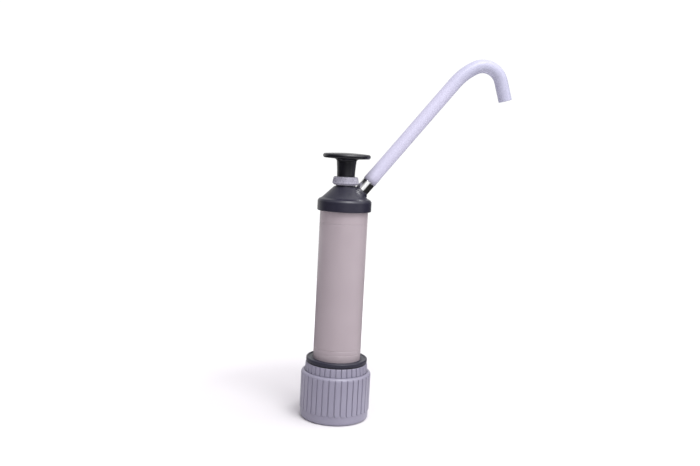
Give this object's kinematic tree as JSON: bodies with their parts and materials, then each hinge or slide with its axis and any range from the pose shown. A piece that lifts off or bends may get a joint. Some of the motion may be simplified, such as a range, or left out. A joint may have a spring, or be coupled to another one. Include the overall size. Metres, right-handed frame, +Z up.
{
  "type": "pump water filter",
  "caption": "Hand pump water filter: ribbed base cup, slim barrel, conical black head with palm knob, and a swivelling spout with a hooked translucent outlet tube.",
  "frame": {"origin": "centre of the base cup's underside, on the pump's axis", "axes": "+Z up along the pump's axis, +X the side that the spout leans to"},
  "size_m": [0.1713, 0.06, 0.3122],
  "materials": {
    "cup_grey": "moulded, fine satin grain",
    "nut_grey": "finely knurled, mottled grey",
    "black_plastic": "moulded, satin gloss",
    "barrel_taupe": "smooth, satin gloss",
    "milky_tube": "translucent milky silicone, satin",
    "polished_steel": "polished",
    "steel": "drawn",
    "brass": "turned",
    "seal_rubber": "matt",
    "filter_white": "moulded",
    "valve_amber": "turned",
    "ceramic": "unglazed, porous",
    "carbon": "granular",
    "foam": "open-cell foam"
  },
  "bodies": {
    "base": {"base_cup": "cup_grey", "strainer_mesh": "steel", "prefilter_foam": "foam", "cartridge_shell": "filter_white", "cartridge_foot": "filter_white", "carbon_bed": "carbon", "cartridge_lid": "filter_white", "cartridge_seal": "seal_rubber"},
    "gasket": {"base_gasket": "seal_rubber"},
    "barrel": {"barrel_flange": "black_plastic", "valve_block": "filter_white", "valve_plate": "filter_white", "inlet_cage": "steel", "pump_cylinder": "steel", "barrel_tube": "barrel_taupe", "ceramic_element": "ceramic", "element_ring_lower": "valve_amber", "element_ring_upper": "valve_amber", "head_gasket": "seal_rubber", "head_cap": "black_plastic", "rod_bush": "brass", "rod_packing": "seal_rubber", "gland_nut": "nut_grey"},
    "inlet_flap": {"inlet_valve": "seal_rubber"},
    "delivery_flap": {"delivery_valve": "seal_rubber"},
    "piston_slide": {"piston": "valve_amber", "piston_seal": "seal_rubber"},
    "handle": {"pump_knob": "black_plastic", "knob_insert": "brass", "pump_rod": "polished_steel", "piston_nut": "steel"},
    "spout": {"spout_stub": "polished_steel", "spout_seal": "seal_rubber", "outlet_tube": "milky_tube"}
  },
  "joints": [
    {"name": "base_unscrew", "type": "hinge", "parent": "base", "child": "gasket", "pos_m": [0, 0, 0.048], "axis": [0, 0, 1], "range_deg": [0, 720]},
    {"name": "base_lift", "type": "slide", "parent": "gasket", "child": "barrel", "axis": [0, 0, 1], "range_m": [0, 0.008]},
    {"name": "inlet_lift", "type": "slide", "parent": "barrel", "child": "inlet_flap", "axis": [0, 0, 1], "range_m": [0, 0.002]},
    {"name": "delivery_lift", "type": "slide", "parent": "barrel", "child": "delivery_flap", "axis": [0, 0, 1], "range_m": [0, 0.002]},
    {"name": "pump_stroke", "type": "slide", "parent": "barrel", "child": "piston_slide", "axis": [0, 0, 1], "range_m": [0, 0.085]},
    {"name": "knob_spin", "type": "hinge", "parent": "piston_slide", "child": "handle", "pos_m": [0, 0, 0.15], "axis": [0, 0, 1], "continuous": true},
    {"name": "spout_swivel", "type": "hinge", "parent": "barrel", "child": "spout", "pos_m": [0.0134, 0, 0.1952], "axis": [0.6252, 0, 0.7804], "continuous": true}
  ],
  "couplings": [
    {"joint": "base_lift", "follows": "base_unscrew", "m_per_rad": 0.0006366}
  ]
}
